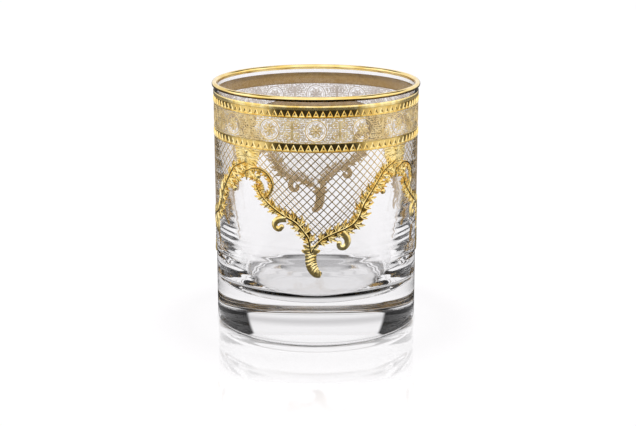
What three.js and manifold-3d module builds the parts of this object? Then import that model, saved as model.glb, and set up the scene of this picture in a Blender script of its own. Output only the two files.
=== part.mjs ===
// A straight-sided whisky tumbler of clear glass with a heavy base and a gilded lip.
// Gold ornament is fired onto its wall: two borders, a frieze, and V panels edged with leaf scrolls.
// Millimetres, +Z up. The origin is the centre of the foot, in the plane that the glass stands on.
import * as THREE from "three";
import { mergeVertices } from "three/addons/utils/BufferGeometryUtils.js";
import { TessellateModifier } from "three/addons/modifiers/TessellateModifier.js";
import Module from "manifold-3d";

// The glass: overall sizes are taken over the gilded lip
const HEIGHT = 95;
const RIM_DIAMETER = 80;
const WALL_DRAFT = 0.4;
const LIP_RADIUS = 0.85;
const LIP_OVERHANG = 0.3;
const BASE_THICKNESS = 14.5;
const HEEL_RADIUS = 2.8;
const FOOT_WIDTH = 7.8;
const PUNT_DEPTH = 1.2;

// The inside: the wall is thin down to one height, thickens to a second, and rounds into the floor
const THIN_WALL = 2.2;
const THIN_WALL_FOOT = 62;
const THICK_WALL = 7.4;
const THICK_WALL_FOOT = 28;
const FLOOR_ROUNDING = 8;
const WALL_BEND = 0.45;

// The gold: one thickness all over, with a bond line to the glass and a seam between neighbours
const GOLD_THICKNESS = 0.25;
const BOND_GAP = 0.2;
const SEAM = 0.3;

// The gilded lip, an open C in section
const GILDING_OUTER_REACH = 0.85;
const GILDING_INNER_REACH = 0.8;

// The bands, counted down from the rim
const UPPER_BORDER_DROP = 3.3;
const UPPER_BORDER_HEIGHT = 4.6;
const FRIEZE_HEIGHT = 8.5;
const LOWER_BORDER_HEIGHT = 3.6;
const BORDER_LINE = 0.7;
const BORDER_LINE_RISE = 0.15;
const ROUNDEL_COUNT = 14;
const ROUNDEL_DIAMETER = 5;

// The panels that hang from the lower border, each a V of lattice between two leaf borders
const PANEL_COUNT = 4;
const PANEL_DEPTH = 38;
const ORNAMENT_TURN = 4.1;
const LATTICE_PITCH = 6.4;
const LATTICE_BAR = 0.8;
const LATTICE_EDGE = 0.8;
const LEAF_HALF_WIDTH = 3.6;
const LEAF_LOBES = 6;
const LEAF_NOTCH = 0.3;
const VOLUTE_RADIUS = 2;
const TIP_HALF_WIDTH = 2.1;
const TIP_LOBES = 3;
const PEAK_REACH = 5.6;
const PEAK_LOBES = 5;

// Where the leaf borders and the tip run, as shares of a panel's width and depth from its top centre
const LEFT_STEM = [
  [-0.455, 0.19],
  [-0.378, 0.283],
  [-0.373, 0.427],
  [-0.297, 0.55],
  [-0.2, 0.647],
  [-0.125, 0.777],
  [-0.097, 0.93],
];
const RIGHT_STEM = [
  [0.455, 0.2],
  [0.369, 0.296],
  [0.292, 0.414],
  [0.25, 0.568],
  [0.174, 0.715],
  [0.076, 0.81],
  [-0.02, 0.925],
];
const TIP_STEM = [
  [-0.06, 0.965],
  [-0.09, 1.08],
  [-0.066, 1.18],
  [-0.026, 1.21],
];
// Shares of a stem's run: where its volute sits, and the stretch that the lattice field lies along
const LEFT_VOLUTE_PLACE = 0.68;
const RIGHT_VOLUTE_PLACE = 0.8;
const FIELD_START = 0.12;
const FIELD_END = 0.88;

// How finely curves are cut up
const ROUND_STEPS = 48;
const ARC_STEPS = 5;
const PUNT_STEPS = 3;
const LOBE_STEPS = 4;
const STEM_TAPER = 0.06;
const BEND_STEP = 6.5;
const BEND_SQUEEZE = 0.1;
const BEND_ROUNDS = 12;
const ROUNDEL_STEPS = 10;
const FIELD_STEPS = 24;
const WHOLE_SHARE = 0.999;
const MERGE_DISTANCE = 1e-4;

const wasm = await Module();
wasm.setup();

const glassMaterial = new THREE.MeshStandardMaterial({
  color: 0xf3f6f7,
  roughness: 0.02,
  metalness: 0,
  transparent: true,
  opacity: 0.35,
});
const rimGold = new THREE.MeshStandardMaterial({ color: 0xd9a93c, roughness: 0.12, metalness: 1 });
const borderGold = new THREE.MeshStandardMaterial({ color: 0xd2a544, roughness: 0.28, metalness: 1 });
const laceGold = new THREE.MeshStandardMaterial({ color: 0xc9b78e, roughness: 0.4, metalness: 1 });
const latticeGold = new THREE.MeshStandardMaterial({ color: 0xcdb27a, roughness: 0.35, metalness: 1 });
const leafGold = new THREE.MeshStandardMaterial({ color: 0xd6ae4e, roughness: 0.25, metalness: 1 });

// Places that follow from the sizes above
const goldDepth = BOND_GAP + GOLD_THICKNESS;
const lipCentreRadius = RIM_DIAMETER / 2 - goldDepth - LIP_RADIUS;
const lipCentreHeight = HEIGHT - goldDepth - LIP_RADIUS;
const wallTopRadius = lipCentreRadius + LIP_RADIUS - LIP_OVERHANG;
const heelCentreRadius = wallRadius(HEEL_RADIUS) - HEEL_RADIUS;
const upperBorderTop = HEIGHT - UPPER_BORDER_DROP;
const friezeTop = upperBorderTop - UPPER_BORDER_HEIGHT - SEAM;
const lowerBorderTop = friezeTop - FRIEZE_HEIGHT - SEAM;
const panelTop = lowerBorderTop - LOWER_BORDER_HEIGHT - SEAM;
const panelMiddle = panelTop - PANEL_DEPTH / 2;
const panelAngle = (2 * Math.PI) / PANEL_COUNT;
const panelWidth = panelAngle * wallRadius(panelMiddle);

// The outer wall is a plain taper: its radius at the foot is less by the draft.
function wallRadius(height) {
  return wallTopRadius - WALL_DRAFT * (1 - height / HEIGHT);
}

// Points of an arc in a section, from one angle to another in degrees.
function arc(centreRadius, centreHeight, radius, from, to) {
  const points = [];
  for (let step = 0; step <= ARC_STEPS; step++) {
    const angle = THREE.MathUtils.degToRad(from + ((to - from) * step) / ARC_STEPS);
    points.push(
      new THREE.Vector2(centreRadius + radius * Math.cos(angle), centreHeight + radius * Math.sin(angle)),
    );
  }
  return points;
}

// A section turned about the +Z axis.
function turned(section) {
  return new THREE.LatheGeometry(section, ROUND_STEPS).rotateX(Math.PI / 2);
}

// A closed section starts again at its first point.
function turnedRing(section) {
  return turned([...section, section[0].clone()]);
}

function toSolid(geometry) {
  const bare = geometry.clone();
  bare.deleteAttribute("normal");
  bare.deleteAttribute("uv");
  const merged = mergeVertices(bare, MERGE_DISTANCE);
  return new wasm.Manifold(
    new wasm.Mesh({
      numProp: 3,
      vertProperties: merged.getAttribute("position").array,
      triVerts: new Uint32Array(merged.index.array),
    }),
  );
}

function toGeometry(solid) {
  const mesh = solid.getMesh();
  return new THREE.BufferGeometry()
    .setAttribute("position", new THREE.BufferAttribute(mesh.vertProperties, 3))
    .setIndex(new THREE.BufferAttribute(mesh.triVerts, 1));
}

// The punt is a shallow dome under the base, from the axis out to the foot.
function puntDome() {
  const puntRadius = heelCentreRadius - FOOT_WIDTH;
  const points = [];
  for (let step = 0; step <= PUNT_STEPS; step++) {
    const share = step / PUNT_STEPS;
    points.push(new THREE.Vector2(share * puntRadius, PUNT_DEPTH * (1 - share * share)));
  }
  return points;
}

// A bend that is tangent to the lines from its corner to its two ends.
function bend(start, corner, end) {
  return new THREE.QuadraticBezierCurve(start, corner, end).getPoints(ARC_STEPS);
}

// The inside in half section, from the lip bead down to the edge of the flat floor.
function insideWall(lipEnd) {
  const knee = new THREE.Vector2(wallRadius(THIN_WALL_FOOT) - THIN_WALL, THIN_WALL_FOOT);
  const foot = new THREE.Vector2(wallRadius(THICK_WALL_FOOT) - THICK_WALL, THICK_WALL_FOOT);
  const reach = (THIN_WALL_FOOT - BASE_THICKNESS) / (THIN_WALL_FOOT - THICK_WALL_FOOT);
  const corner = knee.clone().lerp(foot, reach);
  const floorEdge = new THREE.Vector2(corner.x - FLOOR_ROUNDING, BASE_THICKNESS);
  return [
    ...bend(knee.clone().lerp(lipEnd, WALL_BEND), knee, knee.clone().lerp(foot, WALL_BEND)),
    ...bend(foot, corner, floorEdge),
  ];
}

// The glass in half section: punt, foot, heel, wall, lip bead, inside wall and floor.
function glassBody() {
  const neckAngle = THREE.MathUtils.radToDeg(Math.acos(1 - LIP_OVERHANG / LIP_RADIUS));
  const lip = arc(lipCentreRadius, lipCentreHeight, LIP_RADIUS, -neckAngle, 180);
  const section = [
    ...puntDome(),
    ...arc(heelCentreRadius, HEEL_RADIUS, HEEL_RADIUS, -90, 0),
    ...lip,
    ...insideWall(lip.at(-1)),
    new THREE.Vector2(0, BASE_THICKNESS),
  ];
  return turned(section);
}

// The gilding wraps the lip bead, and both its edges are given as reaches below the bead's centre.
function rimGilding() {
  const inner = LIP_RADIUS + BOND_GAP;
  const outer = inner + GOLD_THICKNESS;
  const outsideEnd = -THREE.MathUtils.radToDeg(Math.asin(GILDING_OUTER_REACH / outer));
  const insideEnd = lipCentreHeight - GILDING_INNER_REACH;
  return turnedRing([
    ...arc(lipCentreRadius, lipCentreHeight, outer, outsideEnd, 180),
    new THREE.Vector2(lipCentreRadius - outer, insideEnd),
    new THREE.Vector2(lipCentreRadius - inner, insideEnd),
    ...arc(lipCentreRadius, lipCentreHeight, inner, 180, outsideEnd),
  ]);
}

// A point of a band's section, at a height and a depth over the bond line.
function onWall(height, depth) {
  return new THREE.Vector2(wallRadius(height) + BOND_GAP + depth, height);
}

// A border band has a raised line along its top and its bottom.
function borderBand(top, height) {
  const bottom = top - height;
  const raised = GOLD_THICKNESS + BORDER_LINE_RISE;
  return turnedRing([
    onWall(bottom, 0),
    onWall(bottom, raised),
    onWall(bottom + BORDER_LINE, raised),
    onWall(bottom + BORDER_LINE, GOLD_THICKNESS),
    onWall(top - BORDER_LINE, GOLD_THICKNESS),
    onWall(top - BORDER_LINE, raised),
    onWall(top, raised),
    onWall(top, 0),
  ]);
}

// The frieze is a lace band with a row of round openings.
function friezeBand() {
  const bottom = friezeTop - FRIEZE_HEIGHT;
  const middle = friezeTop - FRIEZE_HEIGHT / 2;
  const band = turnedRing([
    onWall(bottom, 0),
    onWall(bottom, GOLD_THICKNESS),
    onWall(friezeTop, GOLD_THICKNESS),
    onWall(friezeTop, 0),
  ]);
  const reach = RIM_DIAMETER / 2;
  let solid = toSolid(band);
  for (let index = 0; index < ROUNDEL_COUNT; index++) {
    const hole = new THREE.CylinderGeometry(
      ROUNDEL_DIAMETER / 2,
      ROUNDEL_DIAMETER / 2,
      reach,
      ROUNDEL_STEPS,
    );
    hole.translate(0, -reach, 0);
    hole.rotateZ((2 * Math.PI * index) / ROUNDEL_COUNT);
    hole.translate(0, 0, middle);
    solid = solid.subtract(toSolid(hole));
  }
  return toGeometry(solid);
}

// A place in a panel, laid out flat: across its width from the centre, and down from its top.
function panelPoint([across, down]) {
  return new THREE.Vector2(across * panelWidth, panelTop - down * PANEL_DEPTH);
}

function stemCurve(places) {
  return new THREE.SplineCurve(places.map(panelPoint));
}

// A point beside a stem, at a signed distance to the left of its run.
function beside(stem, place, distance) {
  const point = stem.getPoint(place);
  const along = stem.getTangent(place);
  return new THREE.Vector2(point.x - along.y * distance, point.y + along.x * distance);
}

// The outline of a ribbon along a stem, with a half width that changes along its run.
function ribbonShape(stem, steps, halfWidthAt) {
  const left = [];
  const right = [];
  for (let step = 0; step <= steps; step++) {
    const place = step / steps;
    left.push(beside(stem, place, halfWidthAt(place)));
    right.push(beside(stem, place, -halfWidthAt(place)));
  }
  return new THREE.Shape([...right, ...left.reverse()]);
}

// A leaf ribbon is widest midway, narrow at both ends and notched between its lobes.
function leafHalfWidth(place, halfWidth, lobes) {
  const taper = Math.sqrt(Math.sin(Math.PI * (STEM_TAPER + (1 - 2 * STEM_TAPER) * place)));
  const notch = 1 - LEAF_NOTCH * Math.abs(Math.cos(Math.PI * lobes * place));
  return halfWidth * taper * notch;
}

function leafShape(stem, halfWidth, lobes) {
  return ribbonShape(stem, lobes * LOBE_STEPS, (place) => leafHalfWidth(place, halfWidth, lobes));
}

// A flat shape at the gold's thickness, or a cutter that passes right through it.
function plate(shape) {
  const depth = GOLD_THICKNESS;
  return new THREE.ExtrudeGeometry(shape, { depth, bevelEnabled: false, curveSegments: ARC_STEPS });
}

function cutter(shape) {
  const depth = GOLD_THICKNESS * 3;
  return new THREE.ExtrudeGeometry(shape, { depth, bevelEnabled: false }).translate(0, 0, -GOLD_THICKNESS);
}

// A flat solid is cut into short facets and wrapped round the wall.
// Only its run across the wall bends, so its heights are squeezed while the facets are cut.
function wrapped(flat) {
  const squeezed = flat.clone().scale(1, BEND_SQUEEZE, 1);
  const fine = new TessellateModifier(BEND_STEP, BEND_ROUNDS).modify(squeezed);
  fine.scale(1, 1 / BEND_SQUEEZE, 1);
  const position = fine.getAttribute("position");
  for (let index = 0; index < position.count; index++) {
    const angle = position.getX(index) / wallRadius(panelMiddle);
    const height = position.getY(index);
    const radius = wallRadius(height) + BOND_GAP + position.getZ(index);
    position.setXYZ(index, radius * Math.sin(angle), -radius * Math.cos(angle), height);
  }
  return fine;
}

// A leaf border with its round volute on the side away from the lattice.
function leafBorder(stem, volutePlace, side) {
  const edge = leafHalfWidth(volutePlace, LEAF_HALF_WIDTH, LEAF_LOBES);
  const centre = beside(stem, volutePlace, side * (edge + VOLUTE_RADIUS / 2));
  const volute = new THREE.Shape().absarc(centre.x, centre.y, VOLUTE_RADIUS, 0, 2 * Math.PI);
  const leaf = toSolid(plate(leafShape(stem, LEAF_HALF_WIDTH, LEAF_LOBES)));
  return wrapped(toGeometry(leaf.add(toSolid(plate(volute)))));
}

function tipCurl() {
  return wrapped(plate(leafShape(stemCurve(TIP_STEM), TIP_HALF_WIDTH, TIP_LOBES)));
}

// A lobed fan that hangs from the lower border where two panels meet.
function peakOrnament() {
  const centre = panelPoint([0.5, 0]);
  const steps = PEAK_LOBES * LOBE_STEPS;
  const outline = [];
  for (let step = 0; step <= steps; step++) {
    const angle = Math.PI * (1 + step / steps);
    const notch = 1 - LEAF_NOTCH * Math.abs(Math.cos((Math.PI * PEAK_LOBES * step) / steps));
    const reach = PEAK_REACH * notch;
    outline.push(new THREE.Vector2(centre.x + reach * Math.cos(angle), centre.y + reach * Math.sin(angle)));
  }
  return wrapped(plate(new THREE.Shape(outline)));
}

// The V between the two stems, short of the peaks and of the narrow run into the tip.
function panelField(leftStem, rightStem, margin) {
  const corner = panelWidth / 2 - PEAK_REACH - SEAM - margin;
  const outline = [new THREE.Vector2(-corner, panelTop - margin)];
  const places = [];
  for (let step = 0; step <= FIELD_STEPS; step++) {
    places.push(FIELD_START + ((FIELD_END - FIELD_START) * step) / FIELD_STEPS);
  }
  outline.push(...places.map((place) => leftStem.getPoint(place)));
  outline.push(...places.reverse().map((place) => rightStem.getPoint(place)));
  outline.push(new THREE.Vector2(corner, panelTop - margin));
  let field = toSolid(plate(new THREE.Shape(outline)));
  for (const stem of [leftStem, rightStem]) {
    const lane = ribbonShape(stem, FIELD_STEPS, () => LEAF_HALF_WIDTH + SEAM + margin);
    field = field.subtract(toSolid(cutter(lane)));
  }
  return field;
}

// The field is opened into a lattice by every whole diamond that fits inside its edge.
function latticePanel(leftStem, rightStem) {
  const field = panelField(leftStem, rightStem, 0);
  const inside = panelField(leftStem, rightStem, LATTICE_EDGE);
  const half = LATTICE_PITCH / 2;
  const reach = half - LATTICE_BAR * Math.SQRT1_2;
  const columns = Math.ceil(panelWidth / LATTICE_PITCH);
  const rows = Math.ceil(PANEL_DEPTH / half);
  let lattice = field;
  for (let row = 1; row <= rows; row++) {
    for (let column = -columns; column <= columns; column++) {
      if ((row + column) % 2 !== 0) continue;
      const x = column * half;
      const y = panelTop - row * half;
      const diamond = new THREE.Shape([
        new THREE.Vector2(x - reach, y),
        new THREE.Vector2(x, y - reach),
        new THREE.Vector2(x + reach, y),
        new THREE.Vector2(x, y + reach),
      ]);
      const whole = toSolid(plate(diamond));
      const kept = whole.intersect(inside).volume();
      if (kept > whole.volume() * WHOLE_SHARE) lattice = lattice.subtract(toSolid(cutter(diamond)));
    }
  }
  return wrapped(toGeometry(lattice));
}

function named(name, geometry, material) {
  const mesh = new THREE.Mesh(geometry, material);
  mesh.name = name;
  return mesh;
}

const tumbler = new THREE.Group();
tumbler.add(
  named("glass_body", glassBody(), glassMaterial),
  named("rim_gilding", rimGilding(), rimGold),
  named("upper_border", borderBand(upperBorderTop, UPPER_BORDER_HEIGHT), borderGold),
  named("frieze", friezeBand(), laceGold),
  named("lower_border", borderBand(lowerBorderTop, LOWER_BORDER_HEIGHT), borderGold),
);

const leftStem = stemCurve(LEFT_STEM);
const rightStem = stemCurve(RIGHT_STEM);
const panelPieces = [
  ["lattice_panel", latticePanel(leftStem, rightStem), latticeGold],
  ["leaf_border_left", leafBorder(leftStem, LEFT_VOLUTE_PLACE, -1), leafGold],
  ["leaf_border_right", leafBorder(rightStem, RIGHT_VOLUTE_PLACE, 1), leafGold],
  ["tip_curl", tipCurl(), leafGold],
  ["peak_ornament", peakOrnament(), leafGold],
];
for (let index = 0; index < PANEL_COUNT; index++) {
  const panel = new THREE.Group();
  panel.rotation.z = THREE.MathUtils.degToRad(ORNAMENT_TURN) + index * panelAngle;
  for (const [name, geometry, material] of panelPieces) {
    panel.add(named(`${name}_${index + 1}`, geometry, material));
  }
  tumbler.add(panel);
}

export default tumbler;
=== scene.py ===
import math
import random
from bisect import bisect_right

import bpy
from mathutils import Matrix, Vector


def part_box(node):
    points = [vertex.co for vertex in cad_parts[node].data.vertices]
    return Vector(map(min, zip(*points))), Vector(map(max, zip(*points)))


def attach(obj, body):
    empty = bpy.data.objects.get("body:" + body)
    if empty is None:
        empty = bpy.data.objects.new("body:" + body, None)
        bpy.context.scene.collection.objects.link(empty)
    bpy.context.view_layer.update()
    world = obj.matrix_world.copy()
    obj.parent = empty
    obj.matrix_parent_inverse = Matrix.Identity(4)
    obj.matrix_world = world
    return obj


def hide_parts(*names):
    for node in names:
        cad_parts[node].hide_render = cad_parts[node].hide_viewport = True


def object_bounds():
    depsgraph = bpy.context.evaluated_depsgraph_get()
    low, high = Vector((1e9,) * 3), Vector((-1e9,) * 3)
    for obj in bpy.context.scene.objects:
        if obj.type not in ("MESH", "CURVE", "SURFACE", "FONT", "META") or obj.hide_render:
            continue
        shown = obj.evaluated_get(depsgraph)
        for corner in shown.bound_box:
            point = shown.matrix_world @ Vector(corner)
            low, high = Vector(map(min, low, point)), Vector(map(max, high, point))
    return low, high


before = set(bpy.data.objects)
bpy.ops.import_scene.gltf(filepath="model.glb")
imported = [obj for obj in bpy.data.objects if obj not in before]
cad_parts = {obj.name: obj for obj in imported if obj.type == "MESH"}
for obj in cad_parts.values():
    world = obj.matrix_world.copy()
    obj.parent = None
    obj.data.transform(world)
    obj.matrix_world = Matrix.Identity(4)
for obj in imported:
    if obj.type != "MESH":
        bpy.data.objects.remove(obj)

CAD_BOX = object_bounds()

# The ornament is laid out flat in millimetres and wrapped round the wall; the scene is in metres
MM = 0.001

# The picture's frame and the camera that fits it
IMAGE_WIDTH = 636
SENSOR_WIDTH = 36.0
FOCAL_PIXELS = 1567.0
CAMERA_DISTANCE = 0.5957
CAMERA_HEIGHT = 0.1924
CAMERA_PITCH = 0.247
CAMERA_YAW = -0.0013

# The glass, as in the frame
HEIGHT = CAD_BOX[1].z / MM
RIM_RADIUS = CAD_BOX[1].x / MM
BEAD_STAND = 0.75
WALL_TOP_RADIUS = RIM_RADIUS - BEAD_STAND
WALL_DRAFT = 0.4
BASE_THICKNESS = 14.5
THIN_WALL_FOOT = 62.0
THIN_WALL = 2.2
THICK_WALL_FOOT = 28.0
THICK_WALL = 7.4
FLOOR_ROUNDING = 6.0
# How far the bend between thin and thick wall reaches along each, as a share
KNEE_REACH = 0.45
# Faint rings left inside the thick foot of the wall: wavelength and height of each
RIPPLES = ((4.7, 0.024), (2.3, 0.012))
RIPPLE_TOP = 60.0
HEEL_RADIUS = 2.8
FOOT_WIDTH = 7.8
PUNT_DEPTH = 1.2
BEAD_RADIUS = 1.0
LIP_RADIUS = 0.8
LIP_CENTRE = (RIM_RADIUS - BEAD_RADIUS, HEIGHT - BEAD_RADIUS)

# The gilding: where it ends under the bead outside, in degrees, and how far it reaches down inside
GILDING_END = -48
GILDING_SKIRT = 0.8
# The skirt's lower edge is chamfered: its height, and the share of the bead's radius left at its foot
GILDING_CHAMFER = 0.15
GILDING_FOOT_SHARE = 0.93
# Outside, the gilding is painted dark below this height from the bead's middle: painted shade and dark
# reflection under the bead
GILDING_PAINTED_SHADE_BELOW = -0.1

# The bands, from the frame
UPPER_BORDER = [corner.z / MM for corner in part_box("upper_border")]
LOWER_BORDER = [corner.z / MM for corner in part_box("lower_border")]
PANEL_TOP = LOWER_BORDER[0]
PANEL_HALF_DEPTH = 19
PANEL_COUNT = 4
ORNAMENT_TURN = math.radians(4.1)

# The gap between the glass and the gold's underside
BOND_GAP = 0.02

# The mesh
ROUND_STEPS = 256
SHARP_ANGLE = math.radians(48)


def wall_radius(height):
    return WALL_TOP_RADIUS - WALL_DRAFT * (1 - height / HEIGHT)


# Lengths along the wall are true at the middle of the panels
WRAP_RADIUS = wall_radius(PANEL_TOP - PANEL_HALF_DEPTH)
TURN_LENGTH = 2 * math.pi * WRAP_RADIUS
PANEL_WIDTH = TURN_LENGTH / PANEL_COUNT


# Materials


def new_material(name):
    material = bpy.data.materials.new(name)
    material.use_nodes = True
    tree = material.node_tree
    return material, tree, tree.nodes["Principled BSDF"]


def noise(tree, scale, detail):
    """A noise texture in object space, so it has one scale all over."""
    place = tree.nodes.new("ShaderNodeTexCoord")
    texture = tree.nodes.new("ShaderNodeTexNoise")
    texture.inputs["Scale"].default_value = scale
    texture.inputs["Detail"].default_value = detail
    tree.links.new(place.outputs["Object"], texture.inputs["Vector"])
    return texture.outputs["Fac"]


def spread(tree, value, low, high, low_out, high_out):
    """Maps a stretch of a value onto another."""
    node = tree.nodes.new("ShaderNodeMapRange")
    tree.links.new(value, node.inputs["Value"])
    node.inputs["From Min"].default_value = low
    node.inputs["From Max"].default_value = high
    node.inputs["To Min"].default_value = low_out
    node.inputs["To Max"].default_value = high_out
    return node.outputs["Result"]


def two_tones(tree, value, first, second):
    ramp = tree.nodes.new("ShaderNodeValToRGB")
    ramp.color_ramp.elements[0].color = (*first, 1)
    ramp.color_ramp.elements[0].position = 0.35
    ramp.color_ramp.elements[1].color = (*second, 1)
    ramp.color_ramp.elements[1].position = 0.65
    tree.links.new(value, ramp.inputs["Fac"])
    return ramp.outputs["Color"]


def add_bump(tree, shader, value, strength, distance):
    bump = tree.nodes.new("ShaderNodeBump")
    bump.inputs["Strength"].default_value = strength
    bump.inputs["Distance"].default_value = distance
    tree.links.new(value, bump.inputs["Height"])
    tree.links.new(bump.outputs["Normal"], shader.inputs["Normal"])


def glass_material():
    """Clear pressed glass with a faint waviness and a trace of handling on its polish."""
    material, tree, shader = new_material("clear_glass")
    shader.inputs["Base Color"].default_value = (0.974, 0.972, 0.977, 1)
    shader.inputs["Transmission Weight"].default_value = 1.0
    shader.inputs["IOR"].default_value = 1.5
    smears = noise(tree, scale=60, detail=2)
    tree.links.new(spread(tree, smears, 0.45, 0.8, 0.0, 0.012), shader.inputs["Roughness"])
    waves = noise(tree, scale=45, detail=1)
    add_bump(tree, shader, waves, strength=0.06, distance=0.0004)
    return material


def gold_material(name, metal, deep, bright, roughness, grain, relief):
    """Fired gold: two tones of metal, a patchy polish and a fine grain."""
    material, tree, shader = new_material(name)
    shader.inputs["Metallic"].default_value = metal
    patches = noise(tree, scale=grain * 0.25, detail=3)
    tree.links.new(two_tones(tree, patches, deep, bright), shader.inputs["Base Color"])
    polish = noise(tree, scale=grain, detail=4)
    tree.links.new(spread(tree, polish, 0.3, 0.7, *roughness), shader.inputs["Roughness"])
    pits = noise(tree, scale=grain * 1.6, detail=3)
    add_bump(tree, shader, pits, strength=relief, distance=0.00006)
    return material


def underside_material(name, deep, bright):
    """The back of the fired gold, seen through the glass: matt."""
    material, tree, shader = new_material(name)
    shader.inputs["Roughness"].default_value = 0.6
    shader.inputs["Specular IOR Level"].default_value = 0.1
    patches = noise(tree, scale=900, detail=3)
    tree.links.new(two_tones(tree, patches, deep, bright), shader.inputs["Base Color"])
    return material


GLASS = glass_material()
RIM_GOLD = gold_material(
    "rim_gold", metal=1.0, deep=(0.86, 0.62, 0.20), bright=(1.0, 0.80, 0.38),
    roughness=(0.03, 0.08), grain=500, relief=0.02)
MIRROR_GOLD = gold_material(
    "mirror_gold", metal=1.0, deep=(0.74, 0.50, 0.14), bright=(0.90, 0.68, 0.26),
    roughness=(0.07, 0.16), grain=1600, relief=0.08)
SATIN_GOLD = gold_material(
    "satin_gold", metal=0.86, deep=(0.84, 0.60, 0.18), bright=(1.0, 0.84, 0.42),
    roughness=(0.10, 0.22), grain=1500, relief=0.2)
LACE_GOLD = gold_material(
    "lace_gold", metal=0.64, deep=(0.72, 0.52, 0.22), bright=(0.94, 0.76, 0.40),
    roughness=(0.28, 0.45), grain=2000, relief=0.25)
LATTICE_GOLD = gold_material(
    "lattice_gold", metal=0.9, deep=(0.70, 0.50, 0.24), bright=(0.88, 0.70, 0.40),
    roughness=(0.14, 0.28), grain=1800, relief=0.15)
# Dark gold painted as shade and dark reflection: in the crease lines, along stem crests, over the lower
# leaves and under the rim's bead
PAINTED_SHADE_GOLD = gold_material(
    "painted_shade_gold", metal=1.0, deep=(0.13, 0.075, 0.015), bright=(0.24, 0.14, 0.03),
    roughness=(0.2, 0.35), grain=1500, relief=0.1)
UNDERSIDE = underside_material("gold_underside", (0.44, 0.285, 0.105), (0.52, 0.355, 0.145))
RIM_LINING = underside_material("rim_lining", (0.012, 0.010, 0.008), (0.03, 0.024, 0.016))
LACE_UNDERSIDE = underside_material("lace_underside", (0.64, 0.58, 0.54), (0.74, 0.68, 0.63))
PALE_UNDERSIDE = underside_material("pale_underside", (0.90, 0.87, 0.84), (0.97, 0.95, 0.93))


# Lathe pieces


def arc(centre, radius, start, end, steps):
    """Points of an arc in a half section, angles in degrees."""
    points = []
    for step in range(steps + 1):
        angle = math.radians(start + (end - start) * step / steps)
        points.append((centre[0] + radius * math.cos(angle), centre[1] + radius * math.sin(angle)))
    return points


def part_way(start, end, share):
    return start[0] + (end[0] - start[0]) * share, start[1] + (end[1] - start[1]) * share


def straight(start, end, steps):
    """Points between two points, both left out."""
    return [part_way(start, end, step / steps) for step in range(1, steps)]


def bezier(start, corner, end, steps):
    """A bend that leaves along the line to its corner and arrives along the line from it."""
    points = []
    for step in range(steps + 1):
        t = step / steps
        points.append(part_way(part_way(start, corner, t), part_way(corner, end, t), t))
    return points


def lathe_mesh(name, section, closed):
    """A section turned about Z. An open section starts and ends on the axis."""
    points = []
    faces = []
    rings = []
    for radius, height in section:
        if radius < 1e-6:
            rings.append([len(points)])
            points.append((0.0, 0.0, height * MM))
            continue
        ring = []
        for step in range(ROUND_STEPS):
            angle = 2 * math.pi * step / ROUND_STEPS
            ring.append(len(points))
            points.append((radius * math.cos(angle) * MM, radius * math.sin(angle) * MM, height * MM))
        rings.append(ring)
    pairs = list(zip(rings, rings[1:]))
    if closed:
        pairs.append((rings[-1], rings[0]))
    for low, high in pairs:
        for step in range(ROUND_STEPS):
            after = (step + 1) % ROUND_STEPS
            if len(low) == 1:
                faces.append((low[0], high[after], high[step]))
            elif len(high) == 1:
                faces.append((low[step], low[after], high[0]))
            else:
                faces.append((low[step], low[after], high[after], high[step]))
    return shaded_mesh(name, points, faces)


def shaded_mesh(name, points, faces):
    """A mesh that is smooth but for its sharp edges."""
    mesh = bpy.data.meshes.new(name)
    mesh.from_pydata(points, [], faces)
    mesh.polygons.foreach_set("use_smooth", [True] * len(faces))
    mesh.set_sharp_from_angle(angle=SHARP_ANGLE)
    return mesh


def glass_section():
    """Punt, foot, heel, wall, lip, inside wall, floor fillet and floor."""
    heel_centre = (wall_radius(HEEL_RADIUS) - HEEL_RADIUS, HEEL_RADIUS)
    punt_radius = heel_centre[0] - FOOT_WIDTH
    punt_steps = 16
    neck_offset = wall_radius(LIP_CENTRE[1]) - LIP_CENTRE[0]
    neck = math.degrees(math.acos(min(1.0, neck_offset / LIP_RADIUS)))
    section = [(0.0, PUNT_DEPTH)]
    for step in range(1, punt_steps + 1):
        share = step / punt_steps
        section.append((share * punt_radius, PUNT_DEPTH * (1 - share * share)))
    section += arc(heel_centre, HEEL_RADIUS, -90, 0, steps=14)
    lip = arc(LIP_CENTRE, LIP_RADIUS, -neck, 180, steps=18)
    section += straight(section[-1], lip[0], steps=10)
    section += lip
    return section + inside_section(lip[-1])


def inside_section(lip_end):
    """The inside from the lip down: a thin wall that draws in to a thick foot and rounds into the floor."""
    knee = (wall_radius(THIN_WALL_FOOT) - THIN_WALL, THIN_WALL_FOOT)
    foot = (wall_radius(THICK_WALL_FOOT) - THICK_WALL, THICK_WALL_FOOT)
    above = part_way(knee, lip_end, KNEE_REACH)
    below = part_way(knee, foot, KNEE_REACH)
    slope = (knee[0] - foot[0]) / (knee[1] - foot[1])
    corner = (foot[0] - slope * (THICK_WALL_FOOT - BASE_THICKNESS), BASE_THICKNESS)
    floor_edge = (corner[0] - FLOOR_ROUNDING, BASE_THICKNESS)
    section = straight(lip_end, above, steps=6)
    section += bezier(above, knee, below, steps=60)
    section += straight(below, foot, steps=70)
    section += bezier(foot, corner, floor_edge, steps=60)
    section = [rippled(point) for point in section]
    section += straight(floor_edge, (0.0, BASE_THICKNESS), steps=8)
    section.append((0.0, BASE_THICKNESS))
    return section


def rippled(point):
    """A point of the inside with its rings, which grow downwards and fade into the floor."""
    radius, height = point
    share = (RIPPLE_TOP - height) / (RIPPLE_TOP - BASE_THICKNESS)
    if not 0 < share < 1:
        return point
    swell = share * (1 - share ** 8)
    waves = sum(size * math.sin(2 * math.pi * height / length) for length, size in RIPPLES)
    return radius + swell * waves, height


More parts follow.
